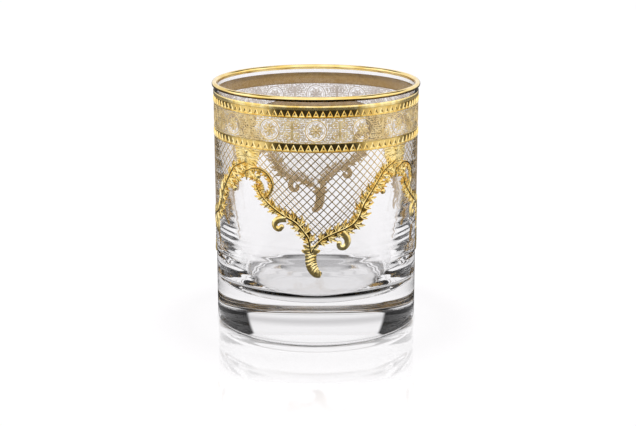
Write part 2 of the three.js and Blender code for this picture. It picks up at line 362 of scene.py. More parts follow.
def rim_section():
    """The gilding wraps the lip: outer arc, a short skirt inside, and back along the glass."""
    inner = LIP_RADIUS + BOND_GAP
    skirt = LIP_CENTRE[1] - GILDING_SKIRT
    section = arc(LIP_CENTRE, BEAD_RADIUS, GILDING_END, 180, steps=20)
    section.append((LIP_CENTRE[0] - BEAD_RADIUS, skirt + GILDING_CHAMFER))
    section.append((LIP_CENTRE[0] - BEAD_RADIUS * GILDING_FOOT_SHARE, skirt))
    section.append((LIP_CENTRE[0] - inner, skirt))
    section += arc(LIP_CENTRE, inner, 180, GILDING_END, steps=20)
    return section


def add_object(name, mesh, materials, node):
    """A piece that stands for one node of the frame."""
    for material in materials:
        mesh.materials.append(material)
    piece = bpy.data.objects.new(name, mesh)
    bpy.context.scene.collection.objects.link(piece)
    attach(piece, "root")
    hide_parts(node)


def make_glass():
    mesh = lathe_mesh("tumbler_glass", glass_section(), False)
    add_object("tumbler_glass", mesh, [GLASS], "glass_body")


def make_rim():
    """Bright gold on the bead, painted dark along its lower edge as shade and dark reflection, and a dark
    lining against the glass.
    """
    bright, dark, lining = range(3)
    mesh = lathe_mesh("gilded_rim", rim_section(), True)
    for face in mesh.polygons:
        radius = math.hypot(face.center.x, face.center.y)
        across = radius / MM - LIP_CENTRE[0]
        up = face.center.z / MM - LIP_CENTRE[1]
        facing = (face.normal.x * face.center.x + face.normal.y * face.center.y) / radius
        if facing * across + face.normal.z * up < 0:
            face.material_index = lining
        # Below the bead's middle outside, the gilding is painted dark: painted shade and dark reflection
        elif across > 0 and up < GILDING_PAINTED_SHADE_BELOW:
            face.material_index = dark
        else:
            face.material_index = bright
    add_object("gilded_rim", mesh, [RIM_GOLD, PAINTED_SHADE_GOLD, RIM_LINING], "rim_gilding")


# Relief on the wall

# The share of its relief that the ornament keeps at the tips, and the heights over which it grows to all
LOW_RELIEF = 0.5
LOW_RELIEF_HEIGHTS = (38.0, 60.0)

# Material places on a relief piece
FACE = 0
UNDER = 1
POLISHED = 2
# The last place is painted shade: dark gold in crease lines, along stem crests and over the lower leaves
PAINTED_SHADE = 3

# A leaf lobe: stations along it, and places across it with their shares of its crown
LOBE_STEPS = 8
LOBE_PROFILE = ((1, 0.15), (0.55, 0.95), (0, 0.55), (-0.55, 0.95), (-1, 0.15))

# A leaf's blade: lobes in a leaflet, stations in a lobe and points across
LEAFLET_LOBES = 3
BLADE_LOBE_STEPS = 6
BLADE_ACROSS = 7
# Its share of the leaf's width, and its rise
BLADE_SHARE = 0.62
BLADE_RISE = 0.36

# The free lobes of a leaflet: turn from its lean in degrees, length and breadth as shares of its size
LEAFLET_LEAN = 66
FREE_LOBES = ((34, 0.68, 0.26), (-30, 0.72, 0.26), (0, 0.94, 0.31))
FREE_LOBE_START = 0.07
FREE_LOBE_CURL = 0.55
FREE_LOBE_RISE = 0.66


class Relief:
    """Closed raised shapes laid out flat on the wall: across, up and out, in millimetres."""

    def __init__(self):
        self.points = []
        self.faces = []
        self.skins = []

    def add_face(self, face, skin):
        self.faces.append(face)
        self.skins.append(skin)

    def sheet(self, rows, loop=False, skin=FACE, painted_shade_stations=()):
        """Stations along a run, each a row of points from its left to its right."""
        first = len(self.points)
        count = len(rows)
        across = len(rows[0])
        stride = across + 2
        left = across
        right = across + 1
        for row in rows:
            self.points.extend(row)
            for end in (row[0], row[-1]):
                self.points.append((end[0], end[1], 0.0))
        spans = count if loop else count - 1
        for station in range(spans):
            a = first + station * stride
            b = first + ((station + 1) % count) * stride
            # Stations listed as painted shade get dark gold on top, painted shade in the crease there
            top = PAINTED_SHADE if station in painted_shade_stations else skin
            for step in range(across - 1):
                self.add_face((a + step, a + step + 1, b + step + 1, b + step), top)
            self.add_face((a + left, a, b, b + left), skin)
            self.add_face((a + across - 1, a + right, b + right, b + across - 1), skin)
            self.add_face((a + right, a + left, b + left, b + right), UNDER)
        if not loop:
            last = first + (count - 1) * stride
            self.add_face((*range(first + across - 1, first - 1, -1), first + left, first + right), skin)
            self.add_face((*range(last, last + across), last + right, last + left), skin)

    def ribbon(self, path, half_width, heights, loop=False, skin=FACE):
        """A strip along a path, with a profile of heights across it.

        half_width is a number, or a function of the share of the path.
        """
        count = len(path)
        rows = []
        for index, (x, y) in enumerate(path):
            before = path[index - 1] if index or loop else path[0]
            after = path[(index + 1) % count] if index < count - 1 or loop else path[-1]
            heading = math.atan2(after[1] - before[1], after[0] - before[0])
            half = half_width(index / (count - 1)) if callable(half_width) else half_width
            row = []
            for step, height in enumerate(heights):
                offset = half * (1 - 2 * step / (len(heights) - 1))
                row.append((x - math.sin(heading) * offset, y + math.cos(heading) * offset, height))
            rows.append(row)
        self.sheet(rows, loop, skin)

    def dome(self, x, y, radius, height, sides=8):
        """A small granule."""
        first = len(self.points)
        for ring_radius, ring_height in ((radius, 0.0), (radius, 0.04), (radius * 0.72, height * 0.72)):
            for px, py in circle_path(x, y, ring_radius, sides):
                self.points.append((px, py, ring_height))
        self.points.append((x, y, height))
        top_ring = first + 2 * sides
        apex = first + 3 * sides
        for step in range(sides):
            after = (step + 1) % sides
            for ring in (0, 1):
                a = first + ring * sides
                b = a + sides
                self.add_face((a + step, a + after, b + after, b + step), FACE)
            self.add_face((top_ring + step, top_ring + after, apex), FACE)
        self.add_face(tuple(range(first + sides - 1, first - 1, -1)), UNDER)

    def lobe(self, x, y, heading, length, width, curl, rise):
        """A leaf lobe: a curved, tapering blade with a sunk vein, from its root along a heading."""
        rows = []
        for step in range(LOBE_STEPS + 1):
            t = step / LOBE_STEPS
            angle = heading + curl * t * t
            if step:
                x += math.cos(angle) * length / LOBE_STEPS
                y += math.sin(angle) * length / LOBE_STEPS
            body = math.sin(math.pi * (0.16 + 0.80 * t ** 0.85)) ** 0.75
            half = 0.5 * width * max(0.12, body)
            crown = rise * (0.55 + 0.45 * math.sin(math.pi * (0.15 + 0.75 * t)))
            row = []
            for side, share in LOBE_PROFILE:
                offset = half * side
                row.append((x - math.sin(angle) * offset, y + math.cos(angle) * offset, crown * share))
            rows.append(row)
        self.sheet(rows)

    def blade(self, path, start, end, side, width, leaflets, skin):
        """One side of a leaf along a stretch of its stem: leaflets of three lobes, with painted shade in
        the crease between each two lobes.
        """
        lobes = LEAFLET_LOBES * leaflets
        stations = lobes * BLADE_LOBE_STEPS
        spans = BLADE_ACROSS - 1
        rows = []
        for station in range(stations + 1):
            t = station / stations
            x, y, heading = path_at(path, start + (end - start) * t)
            leaflet = (t * leaflets) % 1
            leaf_swell = 1 - abs(2 * leaflet - 1) ** 2.5
            lobe_swell = 1 - abs(2 * ((t * lobes) % 1) - 1) ** 2.5
            outline = (1 - abs(2 * t - 1) ** 4) ** 0.5
            reach = 0.35 + width * outline * (0.34 + 0.38 * leaf_swell + 0.28 * lobe_swell)
            fan = 10 * math.sin(2 * math.pi * leaflet)
            row = [(x, y, BLADE_RISE * 0.5)]
            for step in range(1, BLADE_ACROSS):
                a = step / spans
                angle = heading + side * math.radians(86 + fan - 46 * a)
                x += math.cos(angle) * reach / spans
                y += math.sin(angle) * reach / spans
                swell = math.sin(math.pi * (0.2 + 0.7 * a))
                height = BLADE_RISE * swell * (0.2 + 0.3 * leaf_swell + 0.5 * lobe_swell)
                row.append((x, y, 0.05 + height))
            rows.append(row[::-1] if side > 0 else row)
        self.sheet(rows, skin=skin, painted_shade_stations=range(0, stations, BLADE_LOBE_STEPS))

    def frond(self, path, start, end, side, width, leaflets, ground):
        """One side of a leaf: a blade close to the stem, and three free lobes on each leaflet."""
        self.blade(path, start, end, side, BLADE_SHARE * width, leaflets, ground)
        for leaflet in range(leaflets):
            t = (leaflet + 0.5) / leaflets
            x, y, heading = path_at(path, start + (end - start) * t)
            size = width * (0.72 + 0.28 * math.sin(math.pi * t))
            lean = heading + side * math.radians(LEAFLET_LEAN)
            x += math.cos(lean) * FREE_LOBE_START * size
            y += math.sin(lean) * FREE_LOBE_START * size
            for turn, length, breadth in FREE_LOBES:
                lobe_heading = lean + side * math.radians(turn)
                curl = -FREE_LOBE_CURL * side
                self.lobe(x, y, lobe_heading, length * size, breadth * size, curl, FREE_LOBE_RISE)

    def wrapped_mesh(self, name, turn=0.0):
        """The relief wrapped round the glass's wall."""
        placed = []
        for x, y, out in self.points:
            angle = x / WRAP_RADIUS + turn
            radius = wall_radius(y) + BOND_GAP + out * standing(y)
            placed.append((radius * math.sin(angle) * MM, -radius * math.cos(angle) * MM, y * MM))
        mesh = shaded_mesh(name, placed, self.faces)
        mesh.polygons.foreach_set("material_index", self.skins)
        return mesh


def standing(height):
    """How far the relief stands out, as a share: it lies lower towards the tips."""
    low, high = LOW_RELIEF_HEIGHTS
    return LOW_RELIEF + (1 - LOW_RELIEF) * min(1.0, max(0.0, (height - low) / (high - low)))


def circle_path(x, y, radius, steps):
    angles = [2 * math.pi * step / steps for step in range(steps)]
    return [(x + radius * math.cos(a), y + radius * math.sin(a)) for a in angles]


def spiral_path(x, y, outer, inner, start, turns, steps):
    """A volute that winds in from its outer end; turns below zero wind clockwise."""
    path = []
    for step in range(steps + 1):
        t = step / steps
        radius = outer + (inner - outer) * t
        angle = start + 2 * math.pi * turns * t
        path.append((x + radius * math.cos(angle), y + radius * math.sin(angle)))
    return path


def smooth_path(points, spacing):
    """An evenly spaced Catmull-Rom curve through given points."""
    fine = []
    fine_steps = 16
    ends = [points[0], *points, points[-1]]
    for index in range(len(points) - 1):
        corners = ends[index:index + 4]
        for step in range(fine_steps):
            t = step / fine_steps
            fine.append(tuple(catmull_rom(*values, t) for values in zip(*corners)))
    fine.append(points[-1])
    lengths = [0.0]
    for a, b in zip(fine, fine[1:]):
        lengths.append(lengths[-1] + math.dist(a, b))
    count = max(2, round(lengths[-1] / spacing))
    path = []
    for step in range(count + 1):
        goal = lengths[-1] * step / count
        index = min(bisect_right(lengths, goal) - 1, len(fine) - 2)
        part = (goal - lengths[index]) / (lengths[index + 1] - lengths[index])
        path.append(part_way(fine[index], fine[index + 1], part))
    return path


def catmull_rom(a, b, c, d, t):
    square = (2 * a - 5 * b + 4 * c - d) * t * t
    cube = (3 * b - a - 3 * c + d) * t ** 3
    return 0.5 * (2 * b + (c - a) * t + square + cube)


def path_at(path, share):
    """A point of a path and the heading there."""
    place = share * (len(path) - 1)
    index = min(int(place), len(path) - 2)
    part = place - index
    (ax, ay), (bx, by) = path[index], path[index + 1]
    return ax + (bx - ax) * part, ay + (by - ay) * part, math.atan2(by - ay, bx - ax)


# The borders: a polished band with lines along its edges and a row of raised triangles

BAND_STEPS = 256
BAND_HEIGHT = 0.06
BAND_LINE_RISE = 0.14
# The upper border has a broad line at its top, the lower one a narrow line
NARROW_LINE = 0.42
BROAD_LINE = 1.55
UPPER_TRIANGLES = 96
LOWER_TRIANGLES = 90
TRIANGLE_WIDTH = 0.92
TRIANGLE_FOOT_GAP = 0.1
TRIANGLE_TOP_GAP = 0.12
# From a triangle's sunk middle out to its rim: share of its size, and rise over the band
TRIANGLE_PROFILE = ((0.28, 0.0), (0.64, 0.24), (1.0, 0.0))


def band_ring(relief, profile, skin):
    """A ring of the wall from a profile of heights up the wall and out from it, top first."""
    rows = []
    for step in range(BAND_STEPS):
        x = TURN_LENGTH * step / BAND_STEPS
        rows.append([(x, y, out) for y, out in profile])
    relief.sheet(rows, True, skin)


def band_line(relief, high, low):
    """A raised line with rounded edges."""
    edge = min(0.2, (high - low) * 0.3)
    top = BAND_HEIGHT + BAND_LINE_RISE
    profile = [(high, BAND_HEIGHT), (high - edge, top), (low + edge, top), (low, BAND_HEIGHT)]
    band_ring(relief, profile, FACE)


def triangle_frame(relief, x, base, width, height):
    """A raised triangle outline with a sunk middle."""
    middle = (x, base + height / 3)
    rows = []
    for corner in ((x - width / 2, base), (x + width / 2, base), (x, base + height)):
        row = []
        for share, rise in TRIANGLE_PROFILE:
            row.append((*part_way(middle, corner, share), BAND_HEIGHT + rise))
        rows.append(row)
    relief.sheet(rows, True)


def make_border(node, band, count, top_line):
    low, high = band
    relief = Relief()
    band_ring(relief, [(high, BAND_HEIGHT), (low, BAND_HEIGHT)], POLISHED)
    band_line(relief, high, high - top_line)
    band_line(relief, low + NARROW_LINE, low)
    pitch = TURN_LENGTH / count
    base = low + NARROW_LINE + TRIANGLE_FOOT_GAP
    room = high - top_line - TRIANGLE_TOP_GAP - base
    for index in range(count):
        triangle_frame(relief, index * pitch, base, pitch * TRIANGLE_WIDTH, room)
    mesh = relief.wrapped_mesh(node + "_relief")
    add_object(node + "_relief", mesh, [SATIN_GOLD, UNDERSIDE, MIRROR_GOLD], node)


# The frieze: roundels with rosettes between scrolls, on a ground of fine curls

ROUNDEL_COUNT = 14
ROUNDEL_RADIUS = 3.9
ROUNDEL_RING_GAP = 0.7
ROUNDEL_CLEARANCE = 0.3
ROUNDEL_SPACING = TURN_LENGTH / ROUNDEL_COUNT
PETALS = 8
PETAL_ROOT = 0.6
PETAL_SCROLL_PLACE = 2.15
# The volutes between two roundels: where they lie from the middle, across and up, and their radius
VOLUTE_ACROSS = 1.8
VOLUTE_UP = 2.05
VOLUTE_RADIUS = 1.75
VOLUTE_TURNS = 1.6
LACE_RISE = 0.16
CURL_PITCH = 0.78
CURL_RADIUS = 0.36
CURL_SEED = 7
# A fine flat line, and a line with a crest
FLAT_LINE = (0.06, 0.06)
CRESTED_LINE = (0.03, 0.12, 0.03)


def roundel(relief, x, y):
    """Two rings round a rosette, with a small scroll between each two petals."""
    outer_ring = circle_path(x, y, ROUNDEL_RADIUS, steps=40)
    relief.ribbon(outer_ring, half_width=0.24, heights=(0.03, 0.14, 0.03), loop=True)
    inner_ring = circle_path(x, y, ROUNDEL_RADIUS - ROUNDEL_RING_GAP, steps=36)
    relief.ribbon(inner_ring, half_width=0.12, heights=(0.03, 0.1, 0.03), loop=True)
    for petal in range(PETALS):
        angle = 2 * math.pi * petal / PETALS
        root_x = x + PETAL_ROOT * math.cos(angle)
        root_y = y + PETAL_ROOT * math.sin(angle)
        relief.lobe(root_x, root_y, angle, length=1.7, width=0.8, curl=0.0, rise=LACE_RISE)
        gap_angle = angle + math.pi / PETALS
        scroll_x = x + PETAL_SCROLL_PLACE * math.cos(gap_angle)
        scroll_y = y + PETAL_SCROLL_PLACE * math.sin(gap_angle)
        scroll = spiral_path(scroll_x, scroll_y, outer=0.62, inner=0.12, start=angle, turns=1.4, steps=12)
        relief.ribbon(scroll, half_width=0.13, heights=FLAT_LINE)
    relief.dome(x, y, radius=0.6, height=0.24)


def scroll_group(relief, x, y):
    """Four volutes about a pair of leaves, between two roundels."""
    for side in (-1, 1):
        for up in (-1, 1):
            start = math.pi / 2 * (2 - up) if side > 0 else math.pi / 2 * up
            eye_x = x + side * VOLUTE_ACROSS
            eye_y = y + up * VOLUTE_UP
            turns = VOLUTE_TURNS * side * up
            path = spiral_path(eye_x, eye_y, VOLUTE_RADIUS, inner=0.3, start=start, turns=turns, steps=34)
            relief.ribbon(path, half_width=0.2, heights=CRESTED_LINE)
            relief.dome(eye_x, eye_y, radius=0.34, height=LACE_RISE, sides=6)
    for heading in (math.pi / 2, -math.pi / 2):
        relief.lobe(x, y, heading, length=3.7, width=1.2, curl=0.0, rise=LACE_RISE)
    relief.dome(x, y, radius=0.5, height=0.22)


def frieze_ground(relief, low, high, rng):
    """Fine curls that fill the ground outside the roundels."""
    rows = int((high - low) / CURL_PITCH)
    columns = int(TURN_LENGTH / CURL_PITCH)
    middle = (low + high) / 2
    for row in range(rows):
        for column in range(columns):
            x = (column + 0.5 * (row % 2)) * TURN_LENGTH / columns + rng.uniform(-0.12, 0.12)
            y = low + (row + 0.5) * (high - low) / rows + rng.uniform(-0.1, 0.1)
            from_roundel = (x + ROUNDEL_SPACING / 2) % ROUNDEL_SPACING - ROUNDEL_SPACING / 2
            if math.hypot(from_roundel, y - middle) < ROUNDEL_RADIUS + ROUNDEL_CLEARANCE:
                continue
            start = rng.uniform(0, 2 * math.pi)
            turns = rng.choice((-0.9, 0.9))
            curl = spiral_path(x, y, CURL_RADIUS, inner=0.1, start=start, turns=turns, steps=7)
            relief.ribbon(curl, half_width=0.15, heights=FLAT_LINE)


def make_frieze():
    low = LOWER_BORDER[1]
    high = UPPER_BORDER[0]
    middle = (low + high) / 2
    relief = Relief()
    for index in range(ROUNDEL_COUNT):
        roundel(relief, index * ROUNDEL_SPACING, middle)
        scroll_group(relief, (index + 0.5) * ROUNDEL_SPACING, middle)
    frieze_ground(relief, low, high, random.Random(CURL_SEED))
    mesh = relief.wrapped_mesh("frieze_lace")
    add_object("frieze_lace", mesh, [LACE_GOLD, LACE_UNDERSIDE], "frieze")


# The panels, laid out from the middle of a panel, with heights above the foot

RELIEF_STEP = 0.9
STEM_HALF_WIDTH = 0.62
SCROLL_HALF_WIDTH = 0.55
STEM_PROFILE = (0.2, 0.62, 0.66, 0.62, 0.2)
# The dark line along a stem, painted shade standing for the dark of a midrib groove: its share of the
# stem's width, and its profile
STEM_LINE_SHARE = 0.42
STEM_LINE = (0.68, 0.68)

# A hook: spacing of its points, half width at its root, how much of that it loses, and its profile
HOOK_STEP = RELIEF_STEP * 0.6
HOOK_HALF_WIDTH = 1.5
HOOK_TAPER = 0.55
HOOK_PROFILE = (0.1, 0.7, 0.95, 0.7, 0.1)

# Granules: radius, height and sides
HOOK_EYE = (1.0, 0.9, 12)
STEM_GRANULE = (1.2, 0.9, 12)
PEAK_GRANULE = (0.9, 0.7, 12)

# The stems grow from the tip of the V up to the peaks
LEFT_STEM = [
    (-4.8, 36.6), (-5.5, 41.8), (-7.1, 44.4), (-10.2, 48.0), (-14.4, 50.4),
    (-18.9, 53.2), (-22.3, 56.0), (-24.4, 58.4), (-26.0, 61.6),
]
LEFT_SCROLL = [(-21.4, 56.6), (-19.3, 60.2), (-19.4, 63.4), (-22.2, 66.6), (-26.5, 67.5), (-31.2, 65.6)]
LEFT_FILLING = [(-22.6, 57.6), (-22.8, 61.2), (-25.4, 64.0), (-29.6, 64.4)]
LEFT_HOOK = [(-13.9, 49.6), (-16.4, 49.2), (-18.3, 47.8), (-18.2, 46.0), (-16.7, 45.3), (-15.7, 46.3)]
LEFT_GRANULE = (-25.3, 64.6)
RIGHT_STEM = [
    (-4.6, 36.6), (-3.3, 39.1), (-0.2, 42.1), (4.0, 44.1), (8.2, 45.7), (11.5, 47.5),
    (13.8, 50.5), (15.5, 54.6), (17.8, 58.0), (20.3, 61.4), (24.2, 66.2), (29.8, 69.0),
]
RIGHT_FILLING = [(19.6, 58.4), (23.4, 61.0), (28.6, 65.0)]
RIGHT_HOOK = [(6.8, 44.4), (8.7, 42.4), (9.0, 40.2), (7.7, 38.6), (6.0, 38.9), (5.8, 40.3)]
RIGHT_GRANULE = (24.0, 58.2)

# The leaves along a stem: where each starts and ends, its side, width, leaflets and ground
LEFT_SCROLL_LEAF = (0.0, 1.0, 1, 3.0, 7, FACE)
LEFT_FILLING_LEAF = (0.1, 0.95, 1, 3.0, 4, FACE)
RIGHT_FILLING_LEAF = (0.0, 1.0, -1, 3.0, 4, FACE)
# Leaves whose ground is the painted-shade place are dark gold all over: painted shade and dark reflection
# on the lower leaves
LEFT_LEAVES = (
    (0.1, 0.56, -1, 4.5, 5, PAINTED_SHADE),
    (0.54, 0.98, -1, 3.2, 4, FACE),
    (0.08, 0.46, 1, 3.7, 4, PAINTED_SHADE),
    (0.5, 1.0, 1, 3.7, 5, FACE),
)
RIGHT_LEAVES = (
    (0.1, 0.42, 1, 4.1, 5, PAINTED_SHADE),
    (0.4, 0.72, 1, 4.4, 4, FACE),
    (0.68, 0.98, 1, 2.8, 4, FACE),
    (0.08, 0.3, -1, 4.1, 3, PAINTED_SHADE),
    (0.3, 0.66, -1, 5.1, 5, PAINTED_SHADE),
    (0.66, 1.0, -1, 5.2, 5, FACE),
)

# The curl under the V: a tapering body, rounded across, with ridges that lean along it
TIP_STEM = [(-4.7, 37.2), (-4.7, 33.8), (-4.2, 31.3), (-2.9, 29.2), (-0.9, 28.2)]
TIP_STEP = 0.25
TIP_ACROSS = 7
TIP_HALF_WIDTH = 2.1
TIP_TAPER = 1.1
TIP_EDGE_HEIGHT = 0.04
TIP_BODY_HEIGHT = 0.06
TIP_ROUNDNESS = 0.9
TIP_RIDGES = 9
TIP_RIDGE_LEAN = 0.7
TIP_RIDGE_HEIGHT = 0.95
# The lobes over the curl: height above its root, turn from straight down, length, width and bend
TIP_LOBES = ((0.6, 70, 3.6, 2.2, 0.9), (1.4, 100, 3.2, 1.8, 0.6))
TIP_LOBE_RISE = 0.7

# The palmette where two panels meet: a plate that hangs just under the lower border
PEAK_GAP = 0.1
PEAK_DROP = 11.0
PEAK_STEPS = 16
PEAK_HALF_WIDTH = 6.4
PEAK_TAPER = 3.0
PEAK_PROFILE = (0.05, 0.1, 0.12, 0.1, 0.05)
# Its tiers of lobes: drop, reach and number of each, and the fan they share, in degrees
PEAK_TIERS = ((0.6, 7.0, 13), (3.2, 6.2, 11), (6.0, 5.6, 9))
PEAK_FAN_START = -172
PEAK_FAN_SWEEP = 164
PEAK_LOBE_WIDTH = 1.5
PEAK_GRANULE_DROP = 1.2

# The lattice, between its top corners and the stems
LATTICE_TOP_LEFT = [(-27.0, PANEL_TOP), (-26.0, 67.6)]
LATTICE_TOP_RIGHT = [(27.5, PANEL_TOP)]
LATTICE_PITCH = 3.05
LATTICE_HALF_BAR = 0.18
LATTICE_STEP = 1.6
# Finer bars lie between those that cross the panel's middle line below this height
LATTICE_CLOSE_BELOW = 47.5
LATTICE_FINE_HALF_BAR = 0.1
# The height of a bar's edges, and of its crest by the slope of its direction: one direction lies lower
LATTICE_EDGE = 0.045
LATTICE_CREST = {-1: 0.118, 1: 0.092}


def rib(relief, path, half_width):
    """A stem, slender at its ends, with a dark line of painted shade along its crest."""
    def half_at(t):
        return half_width * (0.5 + 0.5 * math.sin(math.pi * (0.12 + 0.8 * t)))
    relief.ribbon(path, half_at, STEM_PROFILE)
    relief.ribbon(path, lambda t: STEM_LINE_SHARE * half_at(t), STEM_LINE, skin=PAINTED_SHADE)


def hook(relief, points):
    """A volute that hangs from the leaf into the window between two panels."""
    path = smooth_path(points, HOOK_STEP)
    relief.ribbon(path, lambda t: HOOK_HALF_WIDTH - HOOK_TAPER * t, HOOK_PROFILE)
    relief.dome(*path[-1], *HOOK_EYE)


def panel_mesh(relief, name, index):
    return relief.wrapped_mesh(name + "_relief", ORNAMENT_TURN + index * 2 * math.pi / PANEL_COUNT)


def add_leaf_piece(relief, name, index):
    node = f"{name}_{index + 1}"
    mesh = panel_mesh(relief, node, index)
    materials = [SATIN_GOLD, UNDERSIDE, MIRROR_GOLD, PAINTED_SHADE_GOLD]
    add_object(node + "_relief", mesh, materials, node)


def add_stem(relief, points, leaves, hook_points, granule):
    """A stem with its leaves, its hook and a granule beside it."""
    stem = smooth_path(points, RELIEF_STEP)
    for leaf in leaves:
        relief.frond(stem, *leaf)
    hook(relief, hook_points)
    rib(relief, stem, STEM_HALF_WIDTH)
    relief.dome(*granule, *STEM_GRANULE)


def make_left_border(index):
    relief = Relief()
    scroll = smooth_path(LEFT_SCROLL, RELIEF_STEP)
    relief.frond(scroll, *LEFT_SCROLL_LEAF)
    relief.frond(smooth_path(LEFT_FILLING, RELIEF_STEP), *LEFT_FILLING_LEAF)
    rib(relief, scroll, SCROLL_HALF_WIDTH)
    add_stem(relief, LEFT_STEM, LEFT_LEAVES, LEFT_HOOK, LEFT_GRANULE)
    add_leaf_piece(relief, "leaf_border_left", index)


def make_right_border(index):
    relief = Relief()
    relief.frond(smooth_path(RIGHT_FILLING, RELIEF_STEP), *RIGHT_FILLING_LEAF)
    add_stem(relief, RIGHT_STEM, RIGHT_LEAVES, RIGHT_HOOK, RIGHT_GRANULE)
    add_leaf_piece(relief, "leaf_border_right", index)


def make_tip(index):
    """A tapering leaf under the V, ridged like a twisted cord."""
    relief = Relief()
    path = smooth_path(TIP_STEM, TIP_STEP)
    rows = []
    for station, (x, y) in enumerate(path):
        t = station / (len(path) - 1)
        _, _, heading = path_at(path, t)
        half = TIP_HALF_WIDTH - TIP_TAPER * t ** 5
        row = []
        for step in range(TIP_ACROSS):
            a = 1 - 2 * step / (TIP_ACROSS - 1)
            ridge = (TIP_RIDGES * t + TIP_RIDGE_LEAN * a + 1) % 1
            crown = math.sqrt(1 - TIP_ROUNDNESS * a * a)
            out = TIP_EDGE_HEIGHT + (TIP_BODY_HEIGHT + TIP_RIDGE_HEIGHT * ridge) * crown
            row.append((x - math.sin(heading) * half * a, y + math.cos(heading) * half * a, out))
        rows.append(row)
    relief.sheet(rows)
    root_x, root_y = TIP_STEM[0]
    for side in (-1, 1):
        for up, turn, length, width, bend in TIP_LOBES:
            heading = math.radians(-90 + side * turn)
            relief.lobe(root_x, root_y + up, heading, length, width, side * bend, TIP_LOBE_RISE)
    add_leaf_piece(relief, "tip_curl", index)


def make_peak(index):
    """A hanging palmette where two panels meet: a plate with three tiers of lobes."""
    relief = Relief()
    x = PANEL_WIDTH / 2
    plate_top = PANEL_TOP - PEAK_GAP
    plate = [(x, plate_top - PEAK_DROP * step / PEAK_STEPS) for step in range(PEAK_STEPS + 1)]
    relief.ribbon(plate, lambda t: PEAK_HALF_WIDTH - PEAK_TAPER * t, PEAK_PROFILE)
    for tier, (drop, reach, count) in enumerate(PEAK_TIERS):
        for step in range(count):
            fan = math.radians(PEAK_FAN_START + PEAK_FAN_SWEEP * step / (count - 1))
            size = reach * (0.82 + 0.25 * abs(math.sin(fan)))
            curl = 0.25 * math.cos(fan)
            rise = 0.34 + 0.08 * tier
            relief.lobe(x, PANEL_TOP - drop, fan, size, PEAK_LOBE_WIDTH, curl, rise)
    relief.dome(x, PANEL_TOP - PEAK_GRANULE_DROP, *PEAK_GRANULE)
    add_leaf_piece(relief, "peak_ornament", index)


def lattice_outline():
    """The field between the lower border, the left scroll and the two stems."""
    left = LATTICE_TOP_LEFT + LEFT_SCROLL[3::-1] + LEFT_STEM[5:0:-1]
    return left + RIGHT_STEM[1:11] + LATTICE_TOP_RIGHT


def clipped_line(outline, offset, slope):
    """Where the line y = slope * x + offset runs inside an outline, as pairs of x."""
    crossings = []
    for (ax, ay), (bx, by) in zip(outline, outline[1:] + outline[:1]):
        fa = ay - slope * ax - offset
        fb = by - slope * bx - offset
        if (fa > 0) != (fb > 0):
            crossings.append(ax + (bx - ax) * fa / (fa - fb))
    crossings.sort()
    return list(zip(crossings[::2], crossings[1::2]))


def make_lattice(index):
    """Crossed bars, each line cut to the field."""
    relief = Relief()
    outline = lattice_outline()
    half_lines = 2 * math.ceil(PANEL_WIDTH * 1.5 / LATTICE_PITCH)
    for slope, crest in LATTICE_CREST.items():
        for half_line in range(-half_lines, half_lines + 1):
            offset = PANEL_TOP + half_line * LATTICE_PITCH / 2
            fine = half_line % 2 == 1
            if fine and offset > LATTICE_CLOSE_BELOW:
                continue
            half_bar = LATTICE_FINE_HALF_BAR if fine else LATTICE_HALF_BAR
            for start, end in clipped_line(outline, offset, slope):
                steps = max(1, round((end - start) / LATTICE_STEP))
                xs = [start + (end - start) * s / steps for s in range(steps + 1)]
                path = [(x, slope * x + offset) for x in xs]
                relief.ribbon(path, half_bar, (LATTICE_EDGE, crest, LATTICE_EDGE))
    node = f"lattice_panel_{index + 1}"
    mesh = panel_mesh(relief, node, index)
    add_object(node + "_relief", mesh, [LATTICE_GOLD, PALE_UNDERSIDE], node)


# The studio: turns from straight behind the glass and heights over the horizon, in degrees

WHITE = (1.0, 0.99, 1.0, 1)
BACKDROP_TURN_EDGE = (28.5, 31.5)
BACKDROP_HEIGHTS = (-20, 55)
OVERHEAD_EDGE = (58, 66)
DARK_LEVEL = 0.012

# What is seen through the glass
BACKDROP_LEVEL = 0.95
LOW_SKY_EDGE = (7, 11)
HAZE_HEIGHTS = (13, 19)
HAZE_LEVEL = 0.3
OVERHEAD_LEVEL = 0.1
ROOM_TURN_EDGE = (95, 115)
ROOM_HEIGHT_EDGE = (20, 32)
ROOM_LEVEL = 0.4

# What is mirrored
SOFTBOX_LEVEL = 1.3
SIDE_BOX_TURNS = (67, 122)
SIDE_BOX_HEIGHTS = (-30, 50)
FRONT_BOX_TURN_EDGE = (112, 122)
FRONT_BOX_HEIGHTS = (7, 60)
HORIZON_HEIGHT_EDGE = (28, 34)
HORIZON_TURN_EDGE = (148, 160)

# The floor, with distances from the glass's axis in metres
FLOOR_HALF = 3.0
FLOOR_LEVEL = -0.00005
FLOOR_COLOUR = 0.12
GLOSS_FADE = (0.045, 0.112)
GLOSS_FALL = 1.5
FAR_GLOW = 0.91
NEAR_GLOW = 0.47
# The floor in reflections: pale at the sides, dark in front and behind, and dimmer near the glass
FLOOR_SIDE_TURNS = (77, 129)
FLOOR_SIDE_GLOW = 0.9
FLOOR_BEHIND_EDGE = (66, 88)
FLOOR_BEHIND_GLOW = 0.15
FLOOR_FRONT_GLOW = 0.03
FLOOR_DIM_FADE = (0.11, 0.16)
FLOOR_DIM_SHARE = 0.3
# Under the glass a painted contact shadow: it glows less inside the foot's ring, is dark below the ring and
# glows again outside
PUNT_FADE = (0.028, 0.033)
PUNT_GLOW = 0.82
FOOT_FADE = (0.0365, 0.0395)


def math_node(tree, operation, first, second=None):
    node = tree.nodes.new("ShaderNodeMath")
    node.operation = operation
    for socket, value in zip(node.inputs, (first, second)):
        if value is not None:
            plug(tree, socket, value)
    return node.outputs[0]


